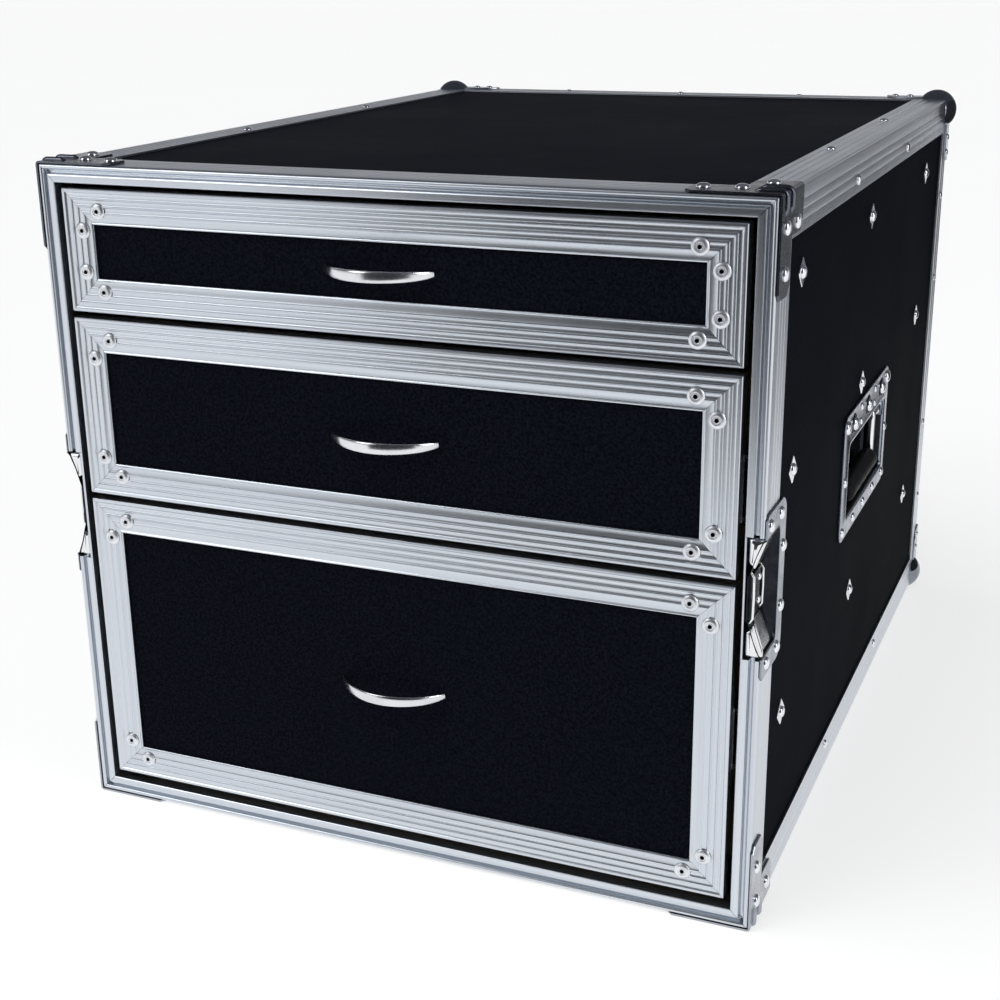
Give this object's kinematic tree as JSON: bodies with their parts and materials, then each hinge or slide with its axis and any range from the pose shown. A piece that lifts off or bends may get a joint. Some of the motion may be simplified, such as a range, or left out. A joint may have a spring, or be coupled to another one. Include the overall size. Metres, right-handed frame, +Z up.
{
  "type": "road case with drawers",
  "caption": "Flight case with framed drawers on telescopic runners, aluminium edges, ball corners, recessed side handles and a front rim for a lid.",
  "frame": {"origin": "on the ground, under the middle of the whole case with its balls and pulls", "axes": "+Z up, -Y out of the front where the drawers open, +X to the right seen from the front"},
  "size_m": [0.5404, 0.7184, 0.5064],
  "materials": {
    "laminate": "black plastic laminate with a fine pebble grain, on plywood",
    "aluminium": "drawn, clear anodised",
    "zinc": "pressed steel, bright zinc plated",
    "ball_steel": "pressed steel, polished",
    "pull_chrome": "chrome plated",
    "grip_rubber": "black moulded grip",
    "plywood": "bare birch plywood",
    "runner_steel": "rolled steel, zinc plated"
  },
  "bodies": {
    "case": {"top_panel": "laminate", "bottom_panel": "laminate", "back_panel": "laminate", "right_panel": "laminate", "left_panel": "laminate", "rear_edge_frame": "aluminium", "rim_top": "aluminium", "rim_bottom": "aluminium", "rim_left": "aluminium", "rim_right": "aluminium", "edge_top_right": "aluminium", "edge_top_left": "aluminium", "edge_bottom_right": "aluminium", "edge_bottom_left": "aluminium", "corner_brace_top_right": "zinc", "corner_brace_top_left": "zinc", "corner_brace_bottom_right": "zinc", "corner_brace_bottom_left": "zinc", "catch_dish_right": "zinc", "handle_dish_right": "zinc", "catch_dish_left": "zinc", "handle_dish_left": "zinc", "ball_corner_top_right": "ball_steel", "ball_corner_top_left": "ball_steel", "ball_corner_bottom_right": "ball_steel", "ball_corner_bottom_left": "ball_steel", "top_runner_case_right": "runner_steel", "top_runner_case_left": "runner_steel", "middle_runner_case_right": "runner_steel", "middle_runner_case_left": "runner_steel", "bottom_runner_case_right": "runner_steel", "bottom_runner_case_left": "runner_steel"},
    "top_drawer": {"top_drawer_front": "laminate", "top_drawer_frame": "aluminium", "top_drawer_pull": "pull_chrome", "top_drawer_box": "plywood", "top_runner_drawer_right": "runner_steel", "top_runner_drawer_left": "runner_steel"},
    "top_runner_middles": {"top_runner_middle_right": "runner_steel", "top_runner_middle_left": "runner_steel"},
    "middle_drawer": {"middle_drawer_front": "laminate", "middle_drawer_frame": "aluminium", "middle_drawer_pull": "pull_chrome", "middle_drawer_box": "plywood", "middle_runner_drawer_right": "runner_steel", "middle_runner_drawer_left": "runner_steel"},
    "middle_runner_middles": {"middle_runner_middle_right": "runner_steel", "middle_runner_middle_left": "runner_steel"},
    "bottom_drawer": {"bottom_drawer_front": "laminate", "bottom_drawer_frame": "aluminium", "bottom_drawer_pull": "pull_chrome", "bottom_drawer_box": "plywood", "bottom_runner_drawer_right": "runner_steel", "bottom_runner_drawer_left": "runner_steel"},
    "bottom_runner_middles": {"bottom_runner_middle_right": "runner_steel", "bottom_runner_middle_left": "runner_steel"},
    "right_handle": {"handle_bail_right": "zinc", "handle_grip_right": "grip_rubber"},
    "left_handle": {"handle_bail_left": "zinc", "handle_grip_left": "grip_rubber"}
  },
  "joints": [
    {"name": "top_drawer_slide", "type": "slide", "parent": "case", "child": "top_drawer", "axis": [0, -1, 0], "range_m": [0, 0.56]},
    {"name": "top_runner_slide", "type": "slide", "parent": "case", "child": "top_runner_middles", "axis": [0, -1, 0], "range_m": [0, 0.28]},
    {"name": "middle_drawer_slide", "type": "slide", "parent": "case", "child": "middle_drawer", "axis": [0, -1, 0], "range_m": [0, 0.56]},
    {"name": "middle_runner_slide", "type": "slide", "parent": "case", "child": "middle_runner_middles", "axis": [0, -1, 0], "range_m": [0, 0.28]},
    {"name": "bottom_drawer_slide", "type": "slide", "parent": "case", "child": "bottom_drawer", "axis": [0, -1, 0], "range_m": [0, 0.56]},
    {"name": "bottom_runner_slide", "type": "slide", "parent": "case", "child": "bottom_runner_middles", "axis": [0, -1, 0], "range_m": [0, 0.28]},
    {"name": "right_handle_hinge", "type": "hinge", "parent": "case", "child": "right_handle", "pos_m": [0.2555, 0.006, 0.2632], "axis": [0, -1, 0], "range_deg": [0, 90], "stiffness_Nm_per_rad": 0.5},
    {"name": "left_handle_hinge", "type": "hinge", "parent": "case", "child": "left_handle", "pos_m": [-0.2555, 0.006, 0.2632], "axis": [0, 1, 0], "range_deg": [0, 90], "stiffness_Nm_per_rad": 0.5}
  ],
  "couplings": [
    {"joint": "top_runner_slide", "follows": "top_drawer_slide", "ratio": 0.5},
    {"joint": "middle_runner_slide", "follows": "middle_drawer_slide", "ratio": 0.5},
    {"joint": "bottom_runner_slide", "follows": "bottom_drawer_slide", "ratio": 0.5}
  ]
}
